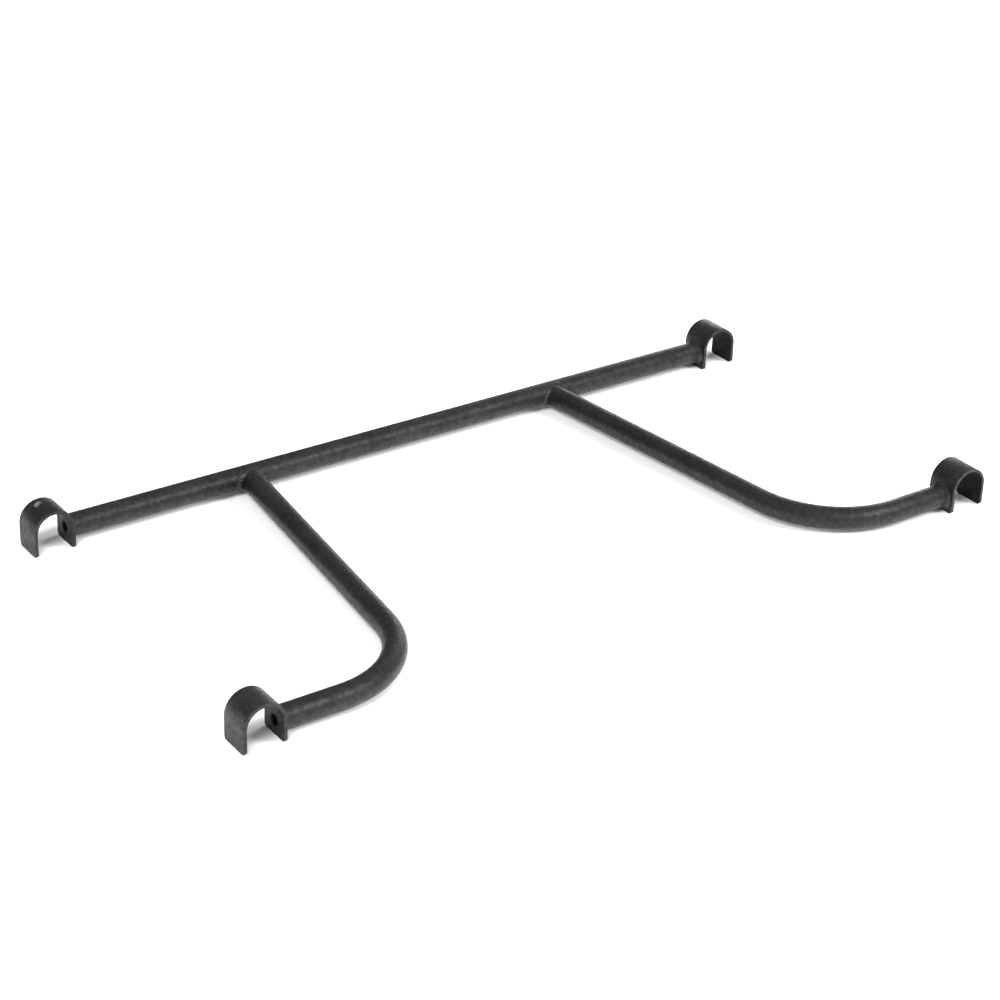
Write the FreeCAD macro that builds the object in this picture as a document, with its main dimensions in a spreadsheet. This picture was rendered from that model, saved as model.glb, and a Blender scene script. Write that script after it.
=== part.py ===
import FreeCAD, Part
import math
import os

import Sketcher

# Floor brace of a kip bar: a welded frame that lies between the two base tubes of the bar and
# hooks over them. Right is +X, the back is +Y and up is +Z. The origin is on the floor, in the
# middle of the frame. Lengths are in millimetres and angles in degrees.
SIZES = {
    # Round tube that the cross tube and both arms are cut from
    "tube_diameter": 35,
    "tube_wall": 2.5,
    # Heights of the tubes' axes above the floor: the arms meet the cross tube a little low
    "cross_tube_height": 24,
    "arm_height": 21.5,
    # Straight tube along the back, measured between the two back saddles
    "cross_tube_length": 1160,
    # From the cross tube's axis to the axis of the arms' front ends
    "frame_depth": 595,
    # Where an arm's axis passes under the cross tube's axis, counted from the middle
    "arm_root_offset": 280,
    # How far an arm leans outward from a right angle to the cross tube
    "arm_splay": 6.8,
    # Radius of the arm's bend, to the tube's axis
    "bend_radius": 149,
    # Where the lower lip of an arm's coped end stops, in front of the cross tube's axis
    "cope_trim": 8,
    # Saddles: flat strip formed over a base tube, with a straight leg on each side
    "saddle_inner_radius": 27,
    "strip_thickness": 5,
    "strip_width": 50,
    "leg_height": 35,
    "leg_corner_radius": 5,
    # Vent hole through a saddle's inner leg into the end of the tube
    "vent_diameter": 17,
    # Weld bead between a tube's end and a saddle: a ring of round section, set out from the
    # corner that it fills
    "end_bead_radius": 3,
    "end_bead_offset": 0.6,
    # Weld bead round the coped end of an arm
    "tee_bead_height": 2.4,
    "tee_bead_width": 11,
    "tee_bead_length": 45,
}

SIDES = {"left": -1, "right": 1}
ROWS = {"back": 1, "front": -1}
# Height of the tube that ends at each row's saddles
ROW_TUBE_HEIGHTS = {"back": "Sizes.cross_tube_height", "front": "Sizes.arm_height"}

Y_AXIS = FreeCAD.Vector(0, 1, 0)
Z_AXIS = FreeCAD.Vector(0, 0, 1)

# Expressions that several pieces share
TUBE_RADIUS = "(Sizes.tube_diameter / 2)"
HALF_LENGTH = "(Sizes.cross_tube_length / 2)"
HALF_DEPTH = "(Sizes.frame_depth / 2)"
SADDLE_OUTER_RADIUS = "(Sizes.saddle_inner_radius + Sizes.strip_thickness)"

# Indices of a sketch's own axes, and the numbers that it gives to points of a curve
H_AXIS = -1
V_AXIS = -2
START = 1
END = 2
CENTRE = 3

TOLERANCE = 0.001


def make_sheet(doc):
    """Spreadsheet with one named cell for each driving dimension."""
    sheet = doc.addObject("Spreadsheet::Sheet", "Sizes")
    for row, (alias, value) in enumerate(SIZES.items(), start=1):
        sheet.set(f"A{row}", alias)
        sheet.set(f"B{row}", str(value))
        sheet.setAlias(f"B{row}", alias)
    doc.recompute()


def bind(item, expressions):
    """Bind properties of a document object to expressions over the sheet."""
    for name, expression in expressions.items():
        item.setExpression(name, expression)


def make_body(doc, node, place):
    """Empty body, labelled as its node and placed by expressions for x, y and z."""
    body = doc.addObject("PartDesign::Body", node)
    body.Label = node
    for axis, expression in place.items():
        body.setExpression(f"Placement.Base.{axis}", expression)
    return body


def make_sketch(body, name, plane):
    """Sketch on one of the body's own origin planes."""
    sketch = body.newObject("Sketcher::SketchObject", name)
    origin_plane = next(item for item in body.Origin.OriginFeatures if item.Role == plane)
    sketch.AttachmentSupport = [(origin_plane, "")]
    sketch.MapMode = "FlatFace"
    return sketch


def fix(sketch, *definition):
    """Add a geometric constraint to a sketch."""
    sketch.addConstraint(Sketcher.Constraint(*definition))


def dimension(sketch, expression, *definition):
    """Add a dimension to a sketch and bind it to an expression."""
    index = sketch.addConstraint(Sketcher.Constraint(*definition))
    sketch.setExpression(f"Constraints[{index}]", expression)


def add_circle(sketch, radius, x="0", y="0"):
    """Circle whose radius and centre follow expressions."""
    circle = sketch.addGeometry(Part.Circle(FreeCAD.Vector(), Z_AXIS, 1))
    dimension(sketch, radius, "Radius", circle, 1)
    dimension(sketch, x, "DistanceX", circle, CENTRE, 0)
    dimension(sketch, y, "DistanceY", circle, CENTRE, 0)


def add_tube_section(sketch, x="0", y="0"):
    """Outer and inner circle of the tube."""
    add_circle(sketch, TUBE_RADIUS, x, y)
    add_circle(sketch, f"{TUBE_RADIUS} - Sizes.tube_wall", x, y)


def make_cross_tube(doc):
    """Straight tube along the back of the frame."""
    body = make_body(doc, "cross_tube", {"y": HALF_DEPTH, "z": "Sizes.cross_tube_height"})
    section = make_sketch(body, "cross_section", "YZ_Plane")
    add_tube_section(section)
    pad = body.newObject("PartDesign::Pad", "cross_length")
    pad.Profile = section
    pad.SideType = "Symmetric"
    pad.setExpression("Length", "Sizes.cross_tube_length")
    doc.recompute()
    return body


def add_arm_route(sketch, side, end_x):
    """Arm's axis from its front end through the bend to its coped end.

    The sketch's origin is the point where the axis passes under the cross tube's axis.
    """
    splay = math.radians(SIZES["arm_splay"])
    radius = SIZES["bend_radius"]
    depth = SIZES["frame_depth"]
    end_reach = SIZES["cross_tube_length"] / 2 - SIZES["arm_root_offset"]
    straight = (depth - radius + radius * math.sin(splay)) / math.cos(splay)
    bend_reach = straight * math.sin(splay) + radius * math.cos(splay)

    front_end = FreeCAD.Vector(side * end_reach, -depth, 0)
    bend_centre = FreeCAD.Vector(side * bend_reach, radius - depth, 0)
    bend_front = bend_centre - radius * Y_AXIS
    bend_back = FreeCAD.Vector(side * straight * math.sin(splay), -straight * math.cos(splay), 0)
    coped_end = bend_back * (SIZES["cope_trim"] / straight)

    # An arc runs anticlockwise, so the two sides of the frame start theirs at opposite ends
    if side > 0:
        angles = (math.pi + splay, 1.5 * math.pi)
        bend_ends = (END, START)
    else:
        angles = (1.5 * math.pi, 2 * math.pi - splay)
        bend_ends = (START, END)
    circle = Part.Circle(bend_centre, Z_AXIS, radius)

    front_run = sketch.addGeometry(Part.LineSegment(front_end, bend_front))
    bend = sketch.addGeometry(Part.ArcOfCircle(circle, *angles))
    back_run = sketch.addGeometry(Part.LineSegment(bend_back, coped_end))
    fix(sketch, "Horizontal", front_run)
    fix(sketch, "Tangent", front_run, END, bend, bend_ends[0])
    fix(sketch, "Tangent", bend, bend_ends[1], back_run, START)
    fix(sketch, "PointOnObject", H_AXIS, START, back_run)
    dimension(sketch, "Sizes.bend_radius", "Radius", bend, radius)
    dimension(sketch, end_x, "DistanceX", front_run, START, front_end.x)
    dimension(sketch, "-Sizes.frame_depth", "DistanceY", front_run, START, front_end.y)
    cope_x = f"{side} * Sizes.cope_trim * sin(Sizes.arm_splay)"
    dimension(sketch, cope_x, "DistanceX", back_run, END, coped_end.x)
    cope_y = "-Sizes.cope_trim * cos(Sizes.arm_splay)"
    dimension(sketch, cope_y, "DistanceY", back_run, END, coped_end.y)


def make_arm(doc, side_name):
    """Arm tube: bent outward in front, coped at the back to sit on the cross tube."""
    side = SIDES[side_name]
    place = {"x": f"{side} * Sizes.arm_root_offset", "y": HALF_DEPTH, "z": "Sizes.arm_height"}
    body = make_body(doc, f"{side_name}_arm_tube", place)
    end_x = f"{side} * ({HALF_LENGTH} - Sizes.arm_root_offset)"

    route = make_sketch(body, f"{side_name}_arm_route", "XY_Plane")
    add_arm_route(route, side, end_x)
    section = make_sketch(body, f"{side_name}_arm_section", "YZ_Plane")
    section.setExpression("AttachmentOffset.Base.z", end_x)
    add_tube_section(section, x="-Sizes.frame_depth")
    pipe = body.newObject("PartDesign::AdditivePipe", f"{side_name}_arm_pipe")
    pipe.Profile = section
    pipe.Spine = route
    doc.recompute()
    plain_volume = pipe.Shape.Volume

    cope_circle = make_sketch(body, f"{side_name}_cope_circle", "YZ_Plane")
    add_circle(cope_circle, TUBE_RADIUS, y="Sizes.cross_tube_height - Sizes.arm_height")
    cope = body.newObject("PartDesign::Pocket", f"{side_name}_cope")
    cope.Profile = cope_circle
    cope.Type = "ThroughAll"
    cope.SideType = "Symmetric"
    doc.recompute()
    require(cope.Shape.Volume < plain_volume, f"{body.Label}: the cope cuts nothing")
    return body


def add_saddle_profile(sketch):
    """Outline of the formed strip: a half ring on two straight legs, open below."""
    inner = SIZES["saddle_inner_radius"]
    outer = inner + SIZES["strip_thickness"]
    height = SIZES["leg_height"]
    centre = FreeCAD.Vector(0, height, 0)

    arcs = []
    for radius in (outer, inner):
        circle = Part.Circle(centre, Z_AXIS, radius)
        arcs.append(sketch.addGeometry(Part.ArcOfCircle(circle, 0, math.pi)))
    # Each leg: outer edge downward, foot inward, inner edge upward
    for sign, arc_end in ((1, START), (-1, END)):
        outer_top = FreeCAD.Vector(sign * outer, height, 0)
        outer_foot = FreeCAD.Vector(sign * outer, 0, 0)
        inner_foot = FreeCAD.Vector(sign * inner, 0, 0)
        inner_top = FreeCAD.Vector(sign * inner, height, 0)
        outer_edge = sketch.addGeometry(Part.LineSegment(outer_top, outer_foot))
        foot = sketch.addGeometry(Part.LineSegment(outer_foot, inner_foot))
        inner_edge = sketch.addGeometry(Part.LineSegment(inner_foot, inner_top))
        fix(sketch, "Tangent", arcs[0], arc_end, outer_edge, START)
        fix(sketch, "Tangent", arcs[1], arc_end, inner_edge, END)
        fix(sketch, "Vertical", outer_edge)
        fix(sketch, "Vertical", inner_edge)
        fix(sketch, "Coincident", outer_edge, END, foot, START)
        fix(sketch, "Coincident", foot, END, inner_edge, START)
        fix(sketch, "PointOnObject", foot, START, H_AXIS)
        fix(sketch, "PointOnObject", foot, END, H_AXIS)
    fix(sketch, "Coincident", arcs[0], CENTRE, arcs[1], CENTRE)
    fix(sketch, "PointOnObject", arcs[0], CENTRE, V_AXIS)
    dimension(sketch, "Sizes.leg_height", "DistanceY", arcs[0], CENTRE, height)
    dimension(sketch, SADDLE_OUTER_RADIUS, "Radius", arcs[0], outer)
    dimension(sketch, "Sizes.saddle_inner_radius", "Radius", arcs[1], inner)


def foot_corner_edges(shape):
    """Names of the edges across the strip's thickness at the bottom of the legs."""
    names = []
    for number, edge in enumerate(shape.Edges, start=1):
        on_floor = all(abs(vertex.Z) < TOLERANCE for vertex in edge.Vertexes)
        if on_floor and abs(edge.Length - SIZES["strip_thickness"]) < TOLERANCE:
            names.append(f"Edge{number}")
    return names


def make_saddle(doc, row_name, side_name):
    """Formed saddle, with its inner leg against the end of a tube."""
    side = SIDES[side_name]
    name = f"{row_name}_{side_name}_saddle"
    place = {
        "x": f"{side} * ({HALF_LENGTH} + {SADDLE_OUTER_RADIUS})",
        "y": f"{ROWS[row_name]} * {HALF_DEPTH}",
    }
    body = make_body(doc, name, place)

    profile = make_sketch(body, f"{name}_profile", "XZ_Plane")
    add_saddle_profile(profile)
    strip = body.newObject("PartDesign::Pad", f"{name}_strip")
    strip.Profile = profile
    strip.SideType = "Symmetric"
    strip.setExpression("Length", "Sizes.strip_width")
    doc.recompute()

    vent_circle = make_sketch(body, f"{name}_vent_circle", "YZ_Plane")
    add_circle(vent_circle, "Sizes.vent_diameter / 2", y=ROW_TUBE_HEIGHTS[row_name])
    vent = body.newObject("PartDesign::Pocket", f"{name}_vent")
    vent.Profile = vent_circle
    vent.Reversed = side < 0
    vent.setExpression("Length", f"{SADDLE_OUTER_RADIUS} + Sizes.strip_thickness")
    doc.recompute()
    vent_volume = math.pi * (SIZES["vent_diameter"] / 2) ** 2 * SIZES["strip_thickness"]
    cut_volume = strip.Shape.Volume - vent.Shape.Volume
    require(abs(cut_volume - vent_volume) < 1, f"{name}: the vent misses the inner leg")

    corners = body.newObject("PartDesign::Fillet", f"{name}_corners")
    corners.Base = (vent, foot_corner_edges(vent.Shape))
    corners.setExpression("Radius", "Sizes.leg_corner_radius")
    doc.recompute()
    return body


def make_end_weld(doc, tube, saddle, row_name, side_name):
    """Bead between a tube's end and a saddle: a ring without what the steel fills."""
    side = SIDES[side_name]
    name = f"{row_name}_{side_name}_saddle_weld"
    ring = doc.addObject("Part::Torus", f"{name}_ring")
    ring.Placement.Rotation = FreeCAD.Rotation(Y_AXIS, side * 90)
    bind(ring, {
        "Radius1": f"{TUBE_RADIUS} + Sizes.end_bead_offset",
        "Radius2": "Sizes.end_bead_radius",
        "Placement.Base.x": f"{side} * ({HALF_LENGTH} - Sizes.end_bead_offset)",
        "Placement.Base.y": f"{ROWS[row_name]} * {HALF_DEPTH}",
        "Placement.Base.z": ROW_TUBE_HEIGHTS[row_name],
    })
    bead = ring
    for label, tool in (("tube_cut", tube), ("saddle_cut", saddle)):
        cut = doc.addObject("Part::Cut", f"{name}_{label}")
        cut.Base = bead
        cut.Tool = tool
        bead = cut
    bead.Label = name
    doc.recompute()
    return bead


def make_arm_cylinder(doc, name, side, radius, start):
    """Cylinder along the coped end of an arm, from a distance off the cross tube's axis."""
    cylinder = doc.addObject("Part::Cylinder", name)
    # The cylinder's own axis is +Z, laid down towards -Y and then turned outward
    lay_down = FreeCAD.Rotation(FreeCAD.Vector(1, 0, 0), 90)
    turn_out = FreeCAD.Rotation(Z_AXIS, side * SIZES["arm_splay"])
    cylinder.Placement.Rotation = turn_out.multiply(lay_down)
    bind(cylinder, {
        "Radius": radius,
        "Height": "Sizes.tee_bead_length",
        "Placement.Base.x": f"{side} * (Sizes.arm_root_offset + {start} * sin(Sizes.arm_splay))",
        "Placement.Base.y": f"{HALF_DEPTH} - {start} * cos(Sizes.arm_splay)",
        "Placement.Base.z": "Sizes.arm_height",
    })
    return cylinder


def make_cross_cylinder(doc, name, side, radius):
    """Cylinder along the cross tube, centred where an arm meets it."""
    cylinder = doc.addObject("Part::Cylinder", name)
    cylinder.Placement.Rotation = FreeCAD.Rotation(Y_AXIS, 90)
    bind(cylinder, {
        "Radius": radius,
        "Height": "2 * Sizes.tee_bead_length",
        "Placement.Base.x": f"{side} * Sizes.arm_root_offset - Sizes.tee_bead_length",
        "Placement.Base.y": HALF_DEPTH,
        "Placement.Base.z": "Sizes.cross_tube_height",
    })
    return cylinder


def make_seam_band(doc, name, side, angle):
    """Upright slab over one half of the seam, which is nearly straight from above.

    Its long way points at the given angle, and it starts a little behind the crown of the
    cross tube.
    """
    slab = doc.addObject("Part::Box", name)
    slab.Placement.Rotation = FreeCAD.Rotation(Z_AXIS, angle)
    half_width = "(Sizes.tee_bead_width / 2)"
    back = "(Sizes.tee_bead_width / 4)"
    along_x = math.cos(math.radians(angle))
    along_y = math.sin(math.radians(angle))
    base_x = f"{side} * Sizes.arm_root_offset - {along_x} * {back} + {along_y} * {half_width}"
    base_y = f"{HALF_DEPTH} - {along_y} * {back} - {along_x} * {half_width}"
    bind(slab, {
        "Length": "Sizes.tee_bead_length",
        "Width": "Sizes.tee_bead_width",
        "Height": "2 * Sizes.tube_diameter",
        "Placement.Base.x": base_x,
        "Placement.Base.y": base_y,
        "Placement.Base.z": "Sizes.cross_tube_height - Sizes.tube_diameter",
    })
    return slab


def make_tee_weld(doc, side_name):
    """Bead round the coped end of an arm.

    Seen from above, the seam follows two lines, each halfway between the arm and one end of
    the cross tube. The bead is what lies near both tubes, inside an upright band over each
    of those lines, without the tubes.
    """
    side = SIDES[side_name]
    name = f"{side_name}_tee_weld"
    bead_radius = f"{TUBE_RADIUS} + Sizes.tee_bead_height"
    arm_angle = -90 + side * SIZES["arm_splay"]

    bands = doc.addObject("Part::MultiFuse", f"{name}_bands")
    bands.Shapes = [
        make_seam_band(doc, f"{name}_band_right", side, arm_angle / 2),
        make_seam_band(doc, f"{name}_band_left", side, (arm_angle - 180) / 2),
    ]
    near_both = doc.addObject("Part::MultiCommon", f"{name}_near_both")
    near_both.Shapes = [
        make_cross_cylinder(doc, f"{name}_near_cross", side, bead_radius),
        make_arm_cylinder(doc, f"{name}_near_arm", side, bead_radius, "0"),
    ]
    bead = doc.addObject("Part::MultiCommon", f"{name}_banded")
    bead.Shapes = [near_both, bands]
    tools = {
        "cross_cut": make_cross_cylinder(doc, f"{name}_cross", side, TUBE_RADIUS),
        "arm_cut": make_arm_cylinder(doc, f"{name}_arm", side, TUBE_RADIUS, "Sizes.cope_trim"),
    }
    for label, tool in tools.items():
        cut = doc.addObject("Part::Cut", f"{name}_{label}")
        cut.Base = bead
        cut.Tool = tool
        bead = cut
    bead.Label = name
    doc.recompute()
    return bead


def require(condition, message):
    if not condition:
        raise RuntimeError(message)


def check(doc, nodes):
    """Stop if an object of the document failed, or a node isn't one sound solid on the floor."""
    for item in doc.Objects:
        failed = {"Invalid", "Error"} & set(item.State)
        require(not failed, f"{item.Name} is {failed}")
    for node in nodes:
        shape = node.Shape
        require(not shape.isNull() and shape.isValid(), f"{node.Label} has no valid shape")
        require(len(shape.Solids) == 1, f"{node.Label} has {len(shape.Solids)} solids")
        require(shape.Volume > 0, f"{node.Label} is inside out")
        lowest = shape.optimalBoundingBox().ZMin
        require(lowest > -TOLERANCE, f"{node.Label} reaches below the floor")


def main():
    doc = FreeCAD.newDocument("kip_bar_floor_brace")
    make_sheet(doc)

    cross_tube = make_cross_tube(doc)
    nodes = [cross_tube]
    for side_name in SIDES:
        arm = make_arm(doc, side_name)
        nodes += [arm, make_tee_weld(doc, side_name)]
        for row_name, tube in (("back", cross_tube), ("front", arm)):
            saddle = make_saddle(doc, row_name, side_name)
            nodes += [saddle, make_end_weld(doc, tube, saddle, row_name, side_name)]

    doc.recompute()
    check(doc, nodes)
    os.makedirs("parts", exist_ok=True)
    for node in nodes:
        node.Shape.exportStep(f"parts/{node.Label}.step")
        box = node.Shape.optimalBoundingBox()
        print(f"{node.Label:28s} volume {node.Shape.Volume:10.0f}",
              f"x {box.XMin:8.2f} {box.XMax:8.2f} y {box.YMin:8.2f} {box.YMax:8.2f}",
              f"z {box.ZMin:6.2f} {box.ZMax:6.2f}")


main()
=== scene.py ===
import math
import random
from dataclasses import dataclass

import bpy
from mathutils import Matrix, Vector


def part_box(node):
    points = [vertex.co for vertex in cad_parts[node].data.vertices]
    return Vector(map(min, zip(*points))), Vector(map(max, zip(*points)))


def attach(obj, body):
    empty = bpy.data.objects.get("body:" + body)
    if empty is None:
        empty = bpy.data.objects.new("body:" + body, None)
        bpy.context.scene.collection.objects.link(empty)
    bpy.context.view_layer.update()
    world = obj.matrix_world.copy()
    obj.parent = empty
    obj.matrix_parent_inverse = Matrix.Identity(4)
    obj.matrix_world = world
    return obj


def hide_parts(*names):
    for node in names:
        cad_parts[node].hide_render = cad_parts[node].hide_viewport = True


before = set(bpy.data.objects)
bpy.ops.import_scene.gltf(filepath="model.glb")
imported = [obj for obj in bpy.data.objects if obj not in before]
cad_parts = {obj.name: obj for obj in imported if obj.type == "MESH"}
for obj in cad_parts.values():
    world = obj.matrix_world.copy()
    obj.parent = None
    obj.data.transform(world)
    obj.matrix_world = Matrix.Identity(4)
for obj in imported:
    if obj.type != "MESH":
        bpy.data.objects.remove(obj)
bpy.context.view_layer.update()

# Looks of the kip bar's floor brace. Metres throughout; +X right, +Y back, +Z up.

SIDES = {"left": -1, "right": 1}
ROWS = {"back": 1, "front": -1}
MM = 0.001

# ---------------------------------------------------------------- sizes that the frame doesn't give

# The arms lean outward from a right angle to the cross tube
ARM_SPLAY = math.radians(6.8)
ARM_ROOT_X = 0.280
# Where the lower lip of an arm's coped end stops, in front of the cross tube's axis
ARM_LIP = 8 * MM
STRIP_THICKNESS = 5 * MM

# Softened edges of the saddles
SOFT_EDGE_RADIUS = 0.8 * MM
SOFT_EDGE_STEPS = 3
SHARP_ANGLE = math.radians(40)
MERGE_DISTANCE = 0.005 * MM

# Weld beads: points across a bead's skin and round each kind of seam
BEAD_STEPS = 16
END_STATIONS = 360
TEE_STATIONS = 420
# How far a bead's toes sink into the steel, and how deep its skin closes
TOE_SINK = 0.25 * MM
ROOT_DEPTH = 1.2 * MM
RIPPLE_PITCH = 4.4 * MM
LEAST_RIPPLES = 8
# In ripples: how far the toes trail behind the crown, and how far the rhythm wanders
RIPPLE_TRAIL = 0.45
RIPPLE_WANDER = 0.8
# Noise along a bead, for its rhythm, its width and its lean: fewest cells, and ripples in a cell
BEAD_NOISE = [(6, 3), (6, 2), (5, 4)]

END_LEG_ON_TUBE = 4.2 * MM
END_LEG_ON_SADDLE = 4 * MM
END_HOLLOW = 0.95 * MM
END_RIPPLE = 0.55 * MM
END_UNEVENNESS = 0.35

TEE_LEG_ON_ARM = 1.6 * MM
# The leg on the cross tube grows from the right flank to the left one, and a little at the crown
TEE_LEG_LEAST = 4 * MM
TEE_LEG_GAIN = 6 * MM
TEE_LEG_CROWN = 0.8 * MM
TEE_BULGE = 0.5 * MM
TEE_RIPPLE = 1.1 * MM
TEE_UNEVENNESS = 0.3
# Share of the bulge and ripple that is left on the right flank, and that is lost at the crown
TEE_HEAP_LEAST = 0.3
TEE_HEAP_LOSS = 0.7
# Share of the outward direction that faces away from the cross tube, against 1 from the arm
TEE_FACING = 2
# Turn round the arm, in radians, over which a seam's direction is taken
TEE_SEAM_STEP = 0.01

# ---------------------------------------------------------------- places from the frame

tube_low, tube_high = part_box("cross_tube")
TUBE_RADIUS = (tube_high.z - tube_low.z) / 2
ROW_Y = (tube_high.y + tube_low.y) / 2

arm_low, arm_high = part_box("left_arm_tube")
# Height of the tube that ends at each row's saddles
TUBE_HEIGHTS = {
    "back": (tube_high.z + tube_low.z) / 2,
    "front": (arm_high.z + arm_low.z) / 2,
}
CROSS_TUBE_AXIS = Vector((0, ROW_Y, TUBE_HEIGHTS["back"]))

saddle_low, saddle_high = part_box("back_right_saddle")
SADDLE_X = (saddle_low.x + saddle_high.x) / 2
SADDLE_OUTER_RADIUS = (saddle_high.x - saddle_low.x) / 2
SADDLE_INNER_RADIUS = SADDLE_OUTER_RADIUS - STRIP_THICKNESS
SADDLE_ARC_HEIGHT = saddle_high.z - SADDLE_OUTER_RADIUS

# ---------------------------------------------------------------- powder coat: sizes and colours

DARK_COAT = (0.0075, 0.0075, 0.0080, 1)
LIGHT_COAT = (0.0165, 0.0165, 0.0170, 1)
# Colour of the pale patches on the saddles, most of which are painted highlights
PALE_AND_SHEEN_COLOUR = (0.30, 0.30, 0.305, 1)

# Noise in the coat: scale per metre, detail and roughness
GRAINS = {
    "peel": (250, 3, 0.5),
    "pebble": (620, 3, 0.5),
    "grit": (2100, 1, 0.5),
    "blotch": (130, 3, 0.6),
    "cloud": (17, 3, 0.6),
}
# Stretches of a noise's range that are spread over the whole range wanted
MOST = (0.25, 0.75)
MIDDLE = (0.3, 0.7)
# Relief from three of the grains: grain, strength and height
RELIEF = [
    ("peel", 0.5, 1.3 * MM),
    ("pebble", 0.5, 0.15 * MM),
    ("grit", 0.4, 0.05 * MM),
]
COAT_ROUGHNESS = (0.33, 0.45)
# In blotches the coat is up to this much rougher, and its gloss varies between these shares
BLOTCH_ROUGHNESS = 0.08
GLOSS_SPREAD = (1.3, 0.7)
TUBE_GLOSS = 0.36
# The beads' coat shines more than the tubes', a painted sheen that lightens the beads
WELD_SHEEN_GLOSS = 0.5

# The coat is rougher inside the saddles, and its shine is cut there as painted shade: added
# roughness, and share of the shine that is left
INSIDE_ROUGHNESS = 0.2
INSIDE_SHADE_SHINE = 0.3
# Distances outside the inner radius between which the dullness and painted shade fade
INSIDE_FADE = (0.2 * MM, 1.4 * MM)
# From the inner leg outward: distances from the saddle's middle, and the dullness and painted shade
# at each
INSIDE_SPAN = (-20 * MM, 5 * MM)
INSIDE_SHARES = (0.45, 1)

# Pale patches on the saddles, most of them painted highlights: roughness they add
PATCH_ROUGHNESS = 0.15
# A patch's edge: how ragged it is and where it fades, in half axes
PATCH_RAGGED = 0.5
PATCH_EDGE = (0.4, 1.1)

# ---------------------------------------------------------------- studio: sizes and places

FLOOR_SIZE = 40
FLOOR_GAP = 0.2 * MM
FLOOR_COLOUR = (0.6, 0.6, 0.6, 1)
FLOOR_ROUGHNESS = 0.9
FLOOR_SHINE = 0.1
WHITE = (1, 1, 1, 1)
# Distances from the middle where the floor begins to glow and where it glows in full
FLOOR_GLOW = (0.9, 2.2)

# Brightness of the room away from its light and towards it
DIM_ROOM = 0.28
LIT_ROOM = 0.9
# Way to that light, and how closely a direction agrees with it where the room is dim and lit
ROOM_LIGHT_WAY = (0.10, -0.45, 0.89)
ROOM_SPAN = (0.0, 0.9)

# Area lights: place, point they aim at, size and watts
KEY_LIGHT = ((0.9, -2.3, 2.3), (0.1, 0, 0), (3.2, 1.2), 72)
RIGHT_LIGHT = ((2.0, 1.6, 0.5), (0.4, 0, 0), (1.3, 0.8), 11)
# Lights for the floor: degrees from the front towards the right, degrees up, and watts
FLOOR_LIGHTS = {
    "floor_front_right": (45, 30, 700),
    "floor_right": (107, 30, 320),
    "floor_left": (300, 50, 560),
}
FLOOR_LIGHT_DISTANCE = 6
FLOOR_LIGHT_SIZE = (2.6, 2.6)

CAMERA_PLACE = (-1.9468, -2.6549, 1.7976)
CAMERA_YAW = math.radians(35.869)
CAMERA_PITCH = math.radians(28.114)
CAMERA_ROLL = math.radians(-2.073)
CAMERA_SENSOR_MM = 36
CAMERA_LENS_MM = 91.037
CAMERA_RANGE = 50


# ---------------------------------------------------------------- shader nodes

class Shading:
    """Node tree of a material or a world, with short ways to add and join nodes."""

    def __init__(self, owner):
        owner.use_nodes = True
        self.nodes = owner.node_tree.nodes
        self.links = owner.node_tree.links
        self.nodes.clear()

    def add(self, kind, **settings):
        """New node with settings of its own, such as its operation."""
        node = self.nodes.new(kind)
        for setting, value in settings.items():
            setattr(node, setting, value)
        return node

    def feed(self, socket, value):
        """Join an output to this input, or set the input to a plain value."""
        if isinstance(value, bpy.types.NodeSocket):
            self.links.new(value, socket)
        else:
            socket.default_value = value

    def place(self, kind="Object"):
        """Coordinates of the shaded point."""
        return self.add("ShaderNodeTexCoord").outputs[kind]

    def noise(self, place, scale, detail, roughness):
        texture = self.add("ShaderNodeTexNoise")
        self.feed(texture.inputs["Vector"], place)
        self.feed(texture.inputs["Scale"], scale)
        self.feed(texture.inputs["Detail"], detail)
        self.feed(texture.inputs["Roughness"], roughness)
        return texture.outputs["Fac"]

    def spread(self, value, source, target):
        """Smooth step from one range of values to another."""
        node = self.add("ShaderNodeMapRange", interpolation_type="SMOOTHSTEP")
        self.feed(node.inputs["Value"], value)
        self.feed(node.inputs["From Min"], source[0])
        self.feed(node.inputs["From Max"], source[1])
        self.feed(node.inputs["To Min"], target[0])
        self.feed(node.inputs["To Max"], target[1])
        return node.outputs["Result"]

    def calc(self, operation, *values):
        """Result of a maths operation, fed by sockets or plain numbers."""
        node = self.add("ShaderNodeMath", operation=operation)
        for socket, value in zip(node.inputs, values):
            self.feed(socket, value)
        return node.outputs["Value"]

    def vector(self, operation, *values):
        """Node of a vector operation, fed by sockets or plain vectors."""
        node = self.add("ShaderNodeVectorMath", operation=operation)
        for socket, value in zip(node.inputs, values):
            self.feed(socket, value)
        return node

    def blend(self, factor, first, second):
        """Colour that goes from the first to the second."""
        node = self.add("ShaderNodeMix", data_type="RGBA")
        self.feed(node.inputs["Factor"], factor)
        self.feed(node.inputs["A"], first)
        self.feed(node.inputs["B"], second)
        return node.outputs["Result"]

    def surface(self, inputs):
        """Principled surface with these inputs, joined to the material's output."""
        shader = self.add("ShaderNodeBsdfPrincipled")
        for name, value in inputs.items():
            self.feed(shader.inputs[name], value)
        output = self.add("ShaderNodeOutputMaterial")
        self.feed(output.inputs["Surface"], shader.outputs["BSDF"])


# ---------------------------------------------------------------- materials

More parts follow.
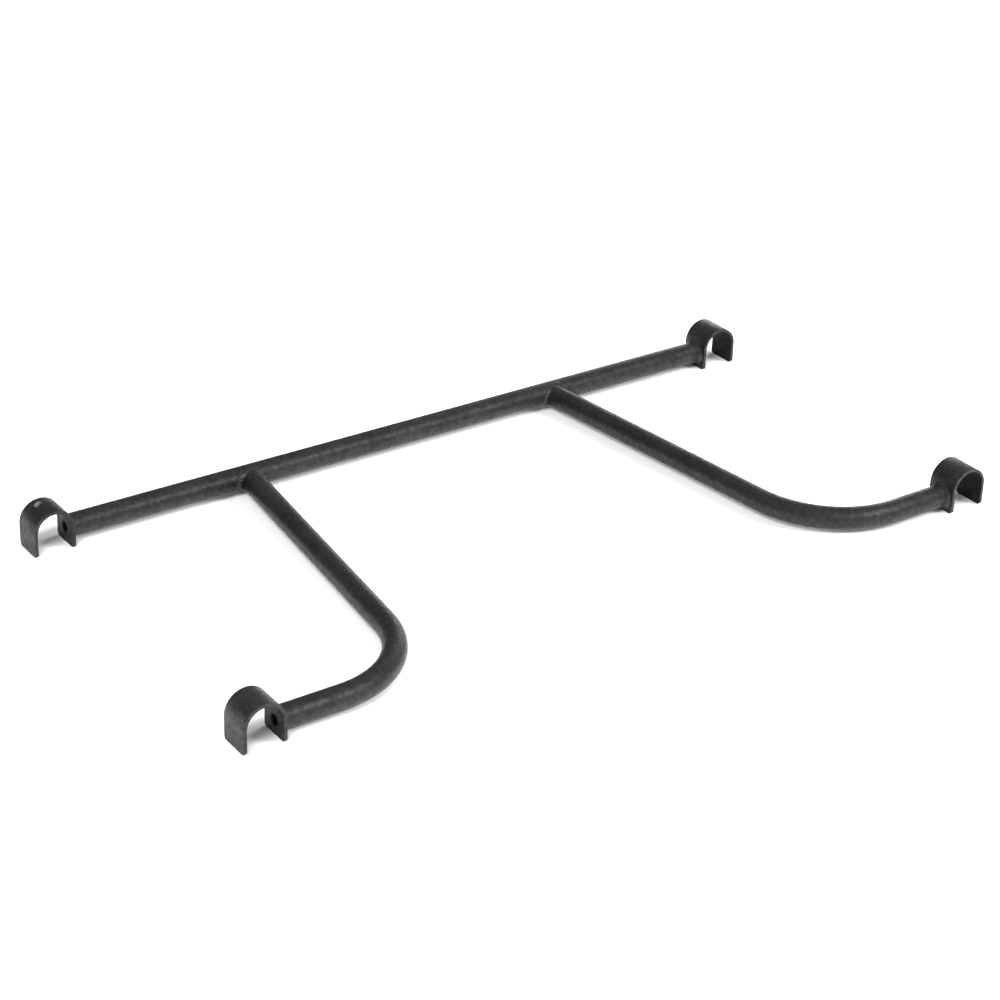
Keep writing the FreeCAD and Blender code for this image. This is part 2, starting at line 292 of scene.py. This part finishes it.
def saddle_dullness_and_shade(shading, place):
    """Mask of roughness and painted shade: up to 1 on the faces that look into a saddle's mouth,
    less on the inner leg, 0 elsewhere.
    """
    parts = shading.add("ShaderNodeSeparateXYZ")
    shading.feed(parts.inputs["Vector"], place)
    from_middle = shading.calc("ABSOLUTE", parts.outputs["X"])
    across = shading.calc("SUBTRACT", from_middle, SADDLE_X)
    rise = shading.calc("SUBTRACT", parts.outputs["Z"], SADDLE_ARC_HEIGHT)
    above = shading.calc("MAXIMUM", rise, 0)
    across_square = shading.calc("MULTIPLY", across, across)
    above_square = shading.calc("MULTIPLY", above, above)
    radius = shading.calc("SQRT", shading.calc("ADD", across_square, above_square))
    fade = [SADDLE_INNER_RADIUS + distance for distance in INSIDE_FADE]
    facing = shading.spread(radius, fade, (1, 0))
    share = shading.spread(across, INSIDE_SPAN, INSIDE_SHARES)
    return shading.calc("MULTIPLY", facing, share)


def on_arc(side_name, row_name, degrees, along):
    """Point on the outer skin of a saddle's arc, at an angle above +X."""
    angle = math.radians(degrees)
    return (
        SIDES[side_name] * SADDLE_X + SADDLE_OUTER_RADIUS * math.cos(angle),
        ROWS[row_name] * ROW_Y + along,
        SADDLE_ARC_HEIGHT + SADDLE_OUTER_RADIUS * math.sin(angle),
    )


# Pale patches on the saddles: place, half axes and strength. Those on the back-left arc and on the
# left side of the front-left arc are pale patches, and the broad faint one lightens the whole
# front-left arc; the two on the right saddles are painted highlights on the right sides of their
# arcs.
PALE_AND_SHEEN_PATCHES = [
    (on_arc("left", "back", 106, 11 * MM), (8 * MM, 5 * MM, 8 * MM), 0.9),
    (on_arc("left", "front", 150, -12 * MM), (6 * MM, 9 * MM, 6 * MM), 0.1),
    (on_arc("left", "front", 105, 0), (45 * MM, 60 * MM, 45 * MM), 0.03),
    (on_arc("right", "front", 72, 2 * MM), (6 * MM, 10 * MM, 6 * MM), 0.12),
    (on_arc("right", "back", 80, -4 * MM), (9 * MM, 5 * MM, 6 * MM), 0.1),
]


def pale_and_sheen_patch(shading, place, grain, centre, half_axes, strength):
    """Pale patch round a point of the skin, broken up by a grain; some patches are painted
    highlights.
    """
    offset = shading.vector("SUBTRACT", place, centre)
    scaled = shading.vector("DIVIDE", offset.outputs["Vector"], half_axes)
    length = shading.vector("LENGTH", scaled.outputs["Vector"])
    raggedness = shading.spread(grain, MIDDLE, (-PATCH_RAGGED, PATCH_RAGGED))
    ragged = shading.calc("ADD", length.outputs["Value"], raggedness)
    return shading.spread(ragged, PATCH_EDGE, (strength, 0))


def relief(shading, grains):
    """Normal of the coat's skin, with its finer grains laid over the coarser ones."""
    normal = None
    for grain, strength, height in RELIEF:
        bump = shading.add("ShaderNodeBump")
        shading.feed(bump.inputs["Height"], grains[grain])
        shading.feed(bump.inputs["Strength"], strength)
        shading.feed(bump.inputs["Distance"], height)
        if normal:
            shading.feed(bump.inputs["Normal"], normal)
        normal = bump.outputs["Normal"]
    return normal


def powder_coat(name, gloss=TUBE_GLOSS, on_saddle=False):
    """Near-black satin powder coat; a saddle's is rougher inside with painted shade there, and has
    pale patches and painted highlights in places.
    """
    material = bpy.data.materials.new(name)
    shading = Shading(material)
    place = shading.place()
    grains = {grain: shading.noise(place, *values) for grain, values in GRAINS.items()}

    colour = shading.blend(shading.spread(grains["cloud"], MIDDLE, (0, 1)), DARK_COAT, LIGHT_COAT)
    roughness = shading.spread(grains["pebble"], MOST, COAT_ROUGHNESS)
    patches = shading.spread(grains["blotch"], MIDDLE, (0, BLOTCH_ROUGHNESS))
    roughness = shading.calc("ADD", roughness, patches)
    shine = shading.spread(grains["blotch"], MIDDLE, [share * gloss for share in GLOSS_SPREAD])
    if on_saddle:
        # Rougher coat inside the saddles, and less shine there as painted shade
        inside = saddle_dullness_and_shade(shading, place)
        duller = shading.calc("MULTIPLY", inside, INSIDE_ROUGHNESS)
        roughness = shading.calc("ADD", roughness, duller)
        shine = shading.calc("MULTIPLY", shine, shading.spread(inside, (0, 1), (1, INSIDE_SHADE_SHINE)))
        # Pale patches; the ones on the right arcs are painted highlights
        for mark in PALE_AND_SHEEN_PATCHES:
            patched = pale_and_sheen_patch(shading, place, grains["blotch"], *mark)
            colour = shading.blend(patched, colour, PALE_AND_SHEEN_COLOUR)
            rougher = shading.calc("MULTIPLY", patched, PATCH_ROUGHNESS)
            roughness = shading.calc("ADD", roughness, rougher)

    shading.surface({
        "Base Color": colour,
        "Roughness": roughness,
        "Specular IOR Level": shine,
        "Normal": relief(shading, grains),
    })
    return material


tube_coat = powder_coat("tube_coat")
# Saddle coat, with painted shade inside the saddles and painted highlights on their arcs
saddle_coat = powder_coat("saddle_coat", on_saddle=True)
# Weld beads: the tube coat with more shine, as a painted sheen
weld_coat = powder_coat("weld_coat", gloss=WELD_SHEEN_GLOSS)


# ---------------------------------------------------------------- CAD pieces that stay

def coat_cad_node(name, material):
    """CAD piece of this name, with its material put on."""
    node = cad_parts[name]
    node.data.materials.clear()
    node.data.materials.append(material)
    return node


def soften_edges(node):
    """Join a CAD piece's faces at their edges, then round those edges."""
    merge = node.modifiers.new("merge", "WELD")
    merge.merge_threshold = MERGE_DISTANCE
    bevel = node.modifiers.new("soft_edges", "BEVEL")
    bevel.width = SOFT_EDGE_RADIUS
    bevel.segments = SOFT_EDGE_STEPS
    bevel.limit_method = "ANGLE"
    bevel.angle_limit = SHARP_ANGLE
    bevel.harden_normals = False


for tube in ("cross_tube", "left_arm_tube", "right_arm_tube"):
    coat_cad_node(tube, tube_coat)
for row in ROWS:
    for side in SIDES:
        soften_edges(coat_cad_node(f"{row}_{side}_saddle", saddle_coat))


# ---------------------------------------------------------------- weld beads

@dataclass
class Seam:
    """One point of a weld seam: a corner between two surfaces, and how the bead lies in it."""

    corner: Vector
    on_first: Vector
    on_second: Vector
    outward: Vector
    bulge: float
    ripple: float


def smooth_noise(rng, cells):
    """Function of a turn from 0 to 1 that joins up with itself and wanders between -1 and 1."""
    knots = [rng.uniform(-1, 1) for _ in range(cells)]

    def value(turn):
        place = turn * cells
        index = math.floor(place)
        part = place - index
        part = part * part * (3 - 2 * part)
        return knots[index % cells] * (1 - part) + knots[(index + 1) % cells] * part

    return value


def bead_section(seam, first_width, second_width, ripple_phase):
    """Points across a bead's skin from the first toe to the second, then the two at its root."""
    to_first = seam.on_first - seam.corner
    to_second = seam.on_second - seam.corner
    first_toe = seam.corner + to_first * first_width
    second_toe = seam.corner + to_second * second_width
    points = []
    for step in range(BEAD_STEPS + 1):
        across = step / BEAD_STEPS
        # 0 at the toes and 1 halfway between them
        crown = 4 * across * (1 - across)
        # Each ripple is a crescent: it trails at the toes
        phase = ripple_phase + RIPPLE_TRAIL * (1 - crown)
        scallop = math.sqrt(max(0, 1 - (2 * (phase % 1) - 1) ** 2))
        # The toes sink into the steel, so that no edge of the skin stands proud of it
        lift = (seam.bulge * first_width + seam.ripple * scallop) * crown - TOE_SINK * (1 - crown)
        points.append(first_toe.lerp(second_toe, across) + seam.outward * lift)
    for way in (to_second, to_first):
        points.append(seam.corner + way * 0.5 - seam.outward * ROOT_DEPTH)
    return points


def closed_skin(name, sections):
    """Mesh that joins each section to the next, and the last one to the first."""
    count = len(sections)
    size = len(sections[0])
    vertices = [point for section in sections for point in section]
    faces = []
    for i in range(count):
        here = i * size
        there = ((i + 1) % count) * size
        for j in range(size):
            k = (j + 1) % size
            faces.append((here + j, here + k, there + k, there + j))
    mesh = bpy.data.meshes.new(name)
    mesh.from_pydata(vertices, [], faces)
    mesh.polygons.foreach_set("use_smooth", [True] * len(faces))
    return mesh


def lay_bead(name, node, seams, rng, unevenness):
    """Rippled weld bead along a closed seam, as one closed skin that stands for a CAD node.

    Each seam point gives the bead's two toes, one on each surface. Between them the skin
    bulges outward, or inward where the bulge is negative; below, it closes inside the steel.
    """
    count = len(seams)
    length = sum((seams[i].corner - seams[i - 1].corner).length for i in range(count))
    ripples = max(LEAST_RIPPLES, round(length / RIPPLE_PITCH))
    wander, swell, lean = [
        smooth_noise(rng, max(fewest, ripples // in_a_cell)) for fewest, in_a_cell in BEAD_NOISE
    ]

    sections = []
    travelled = 0
    for i, seam in enumerate(seams):
        turn = travelled / length
        travelled += (seams[(i + 1) % count].corner - seam.corner).length
        width = 1 + unevenness * swell(turn)
        second_width = width + unevenness * lean(turn)
        ripple_phase = turn * ripples + RIPPLE_WANDER * wander(turn)
        sections.append(bead_section(seam, width, second_width, ripple_phase))

    mesh = closed_skin(name, sections)
    mesh.materials.append(weld_coat)
    mesh.update()
    bead = bpy.data.objects.new(name, mesh)
    bpy.context.scene.collection.objects.link(bead)
    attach(bead, "root")
    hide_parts(node)


def on_saddle_face(side, point):
    """The point moved along X onto the face that a saddle's inner leg turns to its tube."""
    above = max(0, point.z - SADDLE_ARC_HEIGHT)
    reach = math.sqrt(SADDLE_OUTER_RADIUS ** 2 - above ** 2)
    return Vector((side * (SADDLE_X - reach), point.y, point.z))


def end_weld(row_name, side_name):
    """Bead round a tube's end, against the saddle's inner leg."""
    side = SIDES[side_name]
    axis = Vector((0, ROWS[row_name] * ROW_Y, TUBE_HEIGHTS[row_name]))
    inward = Vector((-side, 0, 0))
    seams = []
    for i in range(END_STATIONS):
        # Round the tube clockwise as seen from the saddle, so that the skin faces outward
        angle = -side * 2 * math.pi * i / END_STATIONS
        radial = Vector((0, math.cos(angle), math.sin(angle)))
        corner = on_saddle_face(side, axis + radial * TUBE_RADIUS)
        on_tube = corner + inward * END_LEG_ON_TUBE
        on_saddle = on_saddle_face(side, axis + radial * (TUBE_RADIUS + END_LEG_ON_SADDLE))
        outward = (radial + inward).normalized()
        seams.append(Seam(corner, on_tube, on_saddle, outward, -END_HOLLOW, END_RIPPLE))
    name = f"{row_name}_{side_name}_end_bead"
    node = f"{row_name}_{side_name}_saddle_weld"
    rng = random.Random(f"{row_name} {side_name} end weld")
    lay_bead(name, node, seams, rng, END_UNEVENNESS)


def from_cross_tube(point):
    """Direction from the cross tube's axis to a point."""
    return Vector((0, point.y - ROW_Y, point.z - CROSS_TUBE_AXIS.z)).normalized()


class ArmEnd:
    """Coped end of an arm, in the corner with the cross tube."""

    def __init__(self, side):
        self.root = Vector((side * ARM_ROOT_X, ROW_Y, TUBE_HEIGHTS["front"]))
        self.along = Vector((side * math.sin(ARM_SPLAY), -math.cos(ARM_SPLAY), 0))
        self.level = Vector((math.cos(ARM_SPLAY), side * math.sin(ARM_SPLAY), 0))

    def radial(self, angle):
        """Direction out of the arm's skin, at an angle round the arm from its right flank."""
        return self.level * math.cos(angle) + Vector((0, 0, math.sin(angle)))

    def corner(self, angle):
        """Point of the seam on the arm's skin."""
        rim = self.root + self.radial(angle) * TUBE_RADIUS
        rise = rim.z - CROSS_TUBE_AXIS.z
        reach = math.sqrt(max(ARM_LIP ** 2, TUBE_RADIUS ** 2 - rise ** 2))
        step = (rim.y - (ROW_Y - reach)) / math.cos(ARM_SPLAY)
        return rim + self.along * step

    def seam(self, angle):
        """Seam point with one toe along the arm's skin and the other round the cross tube."""
        corner = self.corner(angle)
        radial = self.radial(angle)
        from_axis = from_cross_tube(corner)
        forward = self.corner(angle + TEE_SEAM_STEP) - self.corner(angle - TEE_SEAM_STEP)
        forward.normalize()
        along_arm = (self.along - forward * self.along.dot(forward)).normalized()
        round_cross = from_axis.cross(forward)
        if round_cross.dot(radial) < 0:
            round_cross = -round_cross

        # The welder laid more on the left flank than on the right one
        full = 0.5 - 0.5 * math.cos(angle)
        crown = max(0, math.sin(angle)) ** 2
        leg = TEE_LEG_LEAST + TEE_LEG_GAIN * full + TEE_LEG_CROWN * crown
        beside = corner + round_cross.normalized() * leg
        off_axis = from_cross_tube(beside) * TUBE_RADIUS
        on_cross = Vector((beside.x, ROW_Y + off_axis.y, CROSS_TUBE_AXIS.z + off_axis.z))
        on_arm = corner + along_arm * (TEE_LEG_ON_ARM + TEE_LEG_CROWN * crown)
        outward = (radial + TEE_FACING * from_axis).normalized()
        heap = (TEE_HEAP_LEAST + (1 - TEE_HEAP_LEAST) * full) * (1 - TEE_HEAP_LOSS * crown)
        return Seam(corner, on_arm, on_cross, outward, TEE_BULGE * heap, TEE_RIPPLE * heap)


def tee_weld(side_name):
    """Bead round the coped end of an arm."""
    arm_end = ArmEnd(SIDES[side_name])
    seams = [arm_end.seam(2 * math.pi * i / TEE_STATIONS) for i in range(TEE_STATIONS)]
    rng = random.Random(f"{side_name} tee weld")
    lay_bead(f"{side_name}_tee_bead", f"{side_name}_tee_weld", seams, rng, TEE_UNEVENNESS)


for side_name in SIDES:
    tee_weld(side_name)
    for row_name in ROWS:
        end_weld(row_name, side_name)


# ---------------------------------------------------------------- floor, light and camera

def make_floor():
    """White paper that glows beyond the object, so that the surround stays plain white."""
    bpy.ops.mesh.primitive_plane_add(size=FLOOR_SIZE, location=(0, 0, -FLOOR_GAP))
    floor = bpy.context.object
    floor.name = "floor"
    material = bpy.data.materials.new("floor_paper")
    shading = Shading(material)
    distance = shading.vector("LENGTH", shading.place())
    shading.surface({
        "Base Color": FLOOR_COLOUR,
        "Roughness": FLOOR_ROUGHNESS,
        "Specular IOR Level": FLOOR_SHINE,
        "Emission Color": WHITE,
        "Emission Strength": shading.spread(distance.outputs["Value"], FLOOR_GLOW, (0, 1)),
    })
    floor.data.materials.append(material)
    return floor


def make_world():
    """Studio room: lit ceiling and front, dim back wall; the camera sees a white backdrop."""
    world = bpy.data.worlds.new("studio")
    bpy.context.scene.world = world
    shading = Shading(world)
    towards_light = shading.vector("DOT_PRODUCT", shading.place("Generated"), ROOM_LIGHT_WAY)
    strength = shading.spread(towards_light.outputs["Value"], ROOM_SPAN, (DIM_ROOM, LIT_ROOM))
    room = shading.add("ShaderNodeBackground")
    shading.feed(room.inputs["Color"], WHITE)
    shading.feed(room.inputs["Strength"], strength)
    backdrop = shading.add("ShaderNodeBackground")
    shading.feed(backdrop.inputs["Color"], WHITE)
    choice = shading.add("ShaderNodeMixShader")
    shading.feed(choice.inputs["Fac"], shading.add("ShaderNodeLightPath").outputs["Is Camera Ray"])
    shading.feed(choice.inputs[1], room.outputs["Background"])
    shading.feed(choice.inputs[2], backdrop.outputs["Background"])
    output = shading.add("ShaderNodeOutputWorld")
    shading.feed(output.inputs["Surface"], choice.outputs["Shader"])


def make_area_light(name, place, target, size, power):
    data = bpy.data.lights.new(name, "AREA")
    data.shape = "RECTANGLE"
    data.size, data.size_y = size
    data.energy = power
    light = bpy.data.objects.new(name, data)
    bpy.context.scene.collection.objects.link(light)
    light.location = place
    direction = Vector(target) - Vector(place)
    light.rotation_euler = direction.to_track_quat("-Z", "Y").to_euler()
    return light


def link_light(light, floor, state):
    """Let a light fall on the floor only (INCLUDE) or on everything else (EXCLUDE)."""
    receivers = bpy.data.collections.new(f"{light.name}_floor")
    receivers.objects.link(floor)
    receivers.collection_objects[0].light_linking.link_state = state
    light.light_linking.receiver_collection = receivers


def make_floor_light(name, floor, turn, lift, power):
    """Soft light on the floor alone, from a direction turned from the front towards the right."""
    turn = math.radians(turn)
    lift = math.radians(lift)
    level = math.cos(lift)
    direction = Vector((level * math.sin(turn), -level * math.cos(turn), math.sin(lift)))
    place = direction * FLOOR_LIGHT_DISTANCE
    light = make_area_light(name, place, (0, 0, 0), FLOOR_LIGHT_SIZE, power)
    link_light(light, floor, "INCLUDE")


def make_camera():
    """Camera at the front left, looking down to the back right, with a slight roll."""
    data = bpy.data.cameras.new("camera")
    data.sensor_width = CAMERA_SENSOR_MM
    data.lens = CAMERA_LENS_MM
    data.clip_end = CAMERA_RANGE
    camera = bpy.data.objects.new("camera", data)
    bpy.context.scene.collection.objects.link(camera)
    turn = Matrix.Rotation(-CAMERA_YAW, 4, "Z")
    tilt = Matrix.Rotation(math.pi / 2 - CAMERA_PITCH, 4, "X")
    lean = Matrix.Rotation(-CAMERA_ROLL, 4, "Z")
    camera.matrix_world = Matrix.Translation(CAMERA_PLACE) @ turn @ tilt @ lean
    bpy.context.scene.camera = camera


floor = make_floor()
make_world()
key = make_area_light("key", *KEY_LIGHT)
link_light(key, floor, "EXCLUDE")
make_area_light("right", *RIGHT_LIGHT)
for name, (turn, lift, power) in FLOOR_LIGHTS.items():
    make_floor_light(name, floor, turn, lift, power)
make_camera()
bpy.context.scene.view_settings.view_transform = "Standard"
